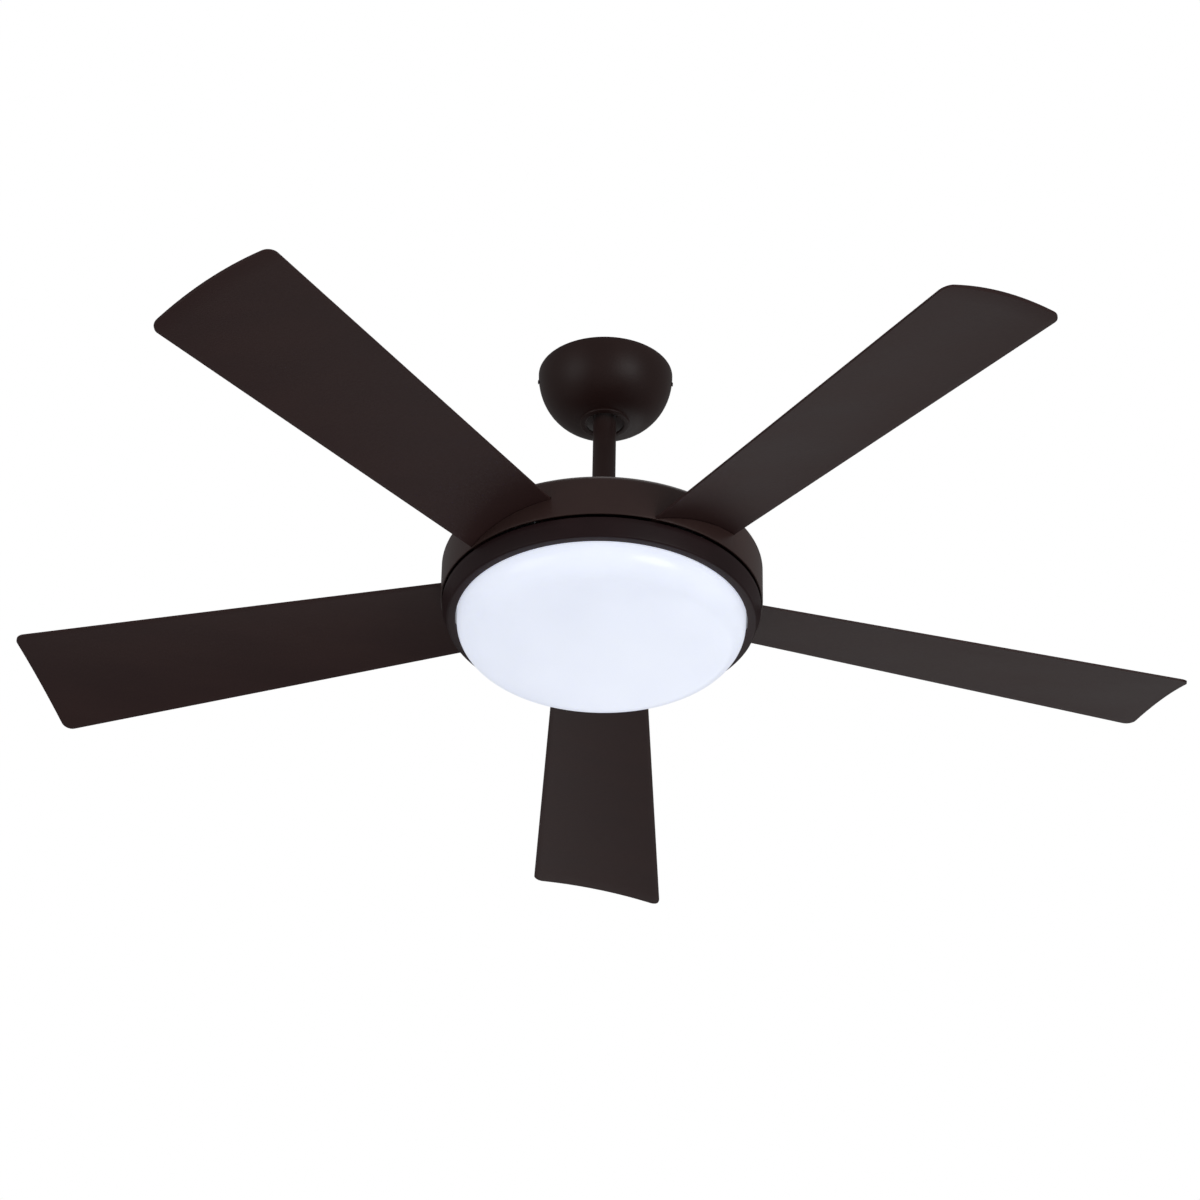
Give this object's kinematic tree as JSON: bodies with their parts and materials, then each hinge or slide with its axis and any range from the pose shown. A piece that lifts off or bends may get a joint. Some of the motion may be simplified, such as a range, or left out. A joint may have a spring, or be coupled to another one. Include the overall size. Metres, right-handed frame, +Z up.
{
  "type": "ceiling fan with light",
  "caption": "Ceiling fan on a short downrod: bowl canopy, shallow turning drum with wide cambered blades, still trim ring and large opal twist-off diffuser.",
  "frame": {"origin": "centre of the ceiling bracket's top face, on the ceiling", "axes": "+Z up, into the ceiling, along the spin axis; +X along the hanger bolt; +Y along one blade"},
  "size_m": [1.2668, 1.2084, 0.3599],
  "materials": {
    "bronze_paint": "satin dark brown paint",
    "blade_lacquer": "satin dark brown, moulded",
    "opal_acrylic": "opal, semi-gloss",
    "zinc_steel": "zinc plated",
    "core_steel": "laminated electrical steel",
    "enamelled_copper": "enamelled wire",
    "ferrite": "sintered, matte",
    "cast_aluminium": "die cast",
    "white_enamel": "white powder coat",
    "moulded_plastic": "moulded, fine texture",
    "rubber": "matte",
    "led_board": "white solder mask",
    "cable_sheath": "soft sheath"
  },
  "bodies": {
    "ceiling_mount": {"ceiling_bracket": "zinc_steel", "hanger_bolt": "zinc_steel", "hanger_nut": "zinc_steel", "split_pin": "zinc_steel", "canopy": "bronze_paint", "canopy_screw_left": "bronze_paint", "canopy_screw_right": "bronze_paint", "remote_receiver": "moulded_plastic", "motor_lead": "cable_sheath"},
    "hanging_frame": {"downrod": "bronze_paint", "hanger_washer_left": "rubber", "hanger_washer_right": "rubber", "motor_coupling": "zinc_steel", "coupling_bolt": "zinc_steel", "coupling_nut": "zinc_steel", "coupling_cover": "bronze_paint", "motor_shaft": "zinc_steel", "stator_core": "core_steel", "stator_winding": "enamelled_copper", "upper_bearing_inner_race": "zinc_steel", "lower_bearing_inner_race": "zinc_steel", "lamp_cable": "cable_sheath", "trim_ring": "bronze_paint", "light_pan": "white_enamel", "pan_screw_1": "zinc_steel", "pan_screw_2": "zinc_steel", "pan_screw_3": "zinc_steel", "pan_nut": "zinc_steel", "led_board": "led_board", "led_driver": "moulded_plastic"},
    "rotor": {"upper_bearing_outer_race": "zinc_steel", "lower_bearing_outer_race": "zinc_steel", "rotor_cup": "cast_aluminium", "magnet_ring": "ferrite", "motor_end_cover": "cast_aluminium", "drum_shell": "bronze_paint", "drum_screw_1": "bronze_paint", "drum_screw_2": "bronze_paint", "drum_screw_3": "bronze_paint", "blade_1": "blade_lacquer", "blade_2": "blade_lacquer", "blade_3": "blade_lacquer", "blade_4": "blade_lacquer", "blade_5": "blade_lacquer", "blade_arm_1": "zinc_steel", "blade_arm_2": "zinc_steel", "blade_arm_3": "zinc_steel", "blade_arm_4": "zinc_steel", "blade_arm_5": "zinc_steel", "arm_screw_1": "zinc_steel", "arm_screw_2": "zinc_steel", "arm_screw_3": "zinc_steel", "arm_screw_4": "zinc_steel", "arm_screw_5": "zinc_steel", "blade_clamp_1": "zinc_steel", "blade_clamp_2": "zinc_steel", "blade_clamp_3": "zinc_steel", "blade_clamp_4": "zinc_steel", "blade_clamp_5": "zinc_steel"},
    "diffuser": {"diffuser": "opal_acrylic"}
  },
  "joints": [
    {"name": "hanger_swing", "type": "hinge", "parent": "ceiling_mount", "child": "hanging_frame", "pos_m": [0, 0, -0.026], "axis": [1, 0, 0], "range_deg": [-6, 6]},
    {"name": "rotor_spin", "type": "hinge", "parent": "hanging_frame", "child": "rotor", "pos_m": [0, 0, -0.2845], "axis": [0, 0, 1], "continuous": true},
    {"name": "diffuser_twist", "type": "hinge", "parent": "hanging_frame", "child": "diffuser", "pos_m": [0, 0, -0.323], "axis": [0, 0, 1], "range_deg": [0, 18]}
  ]
}
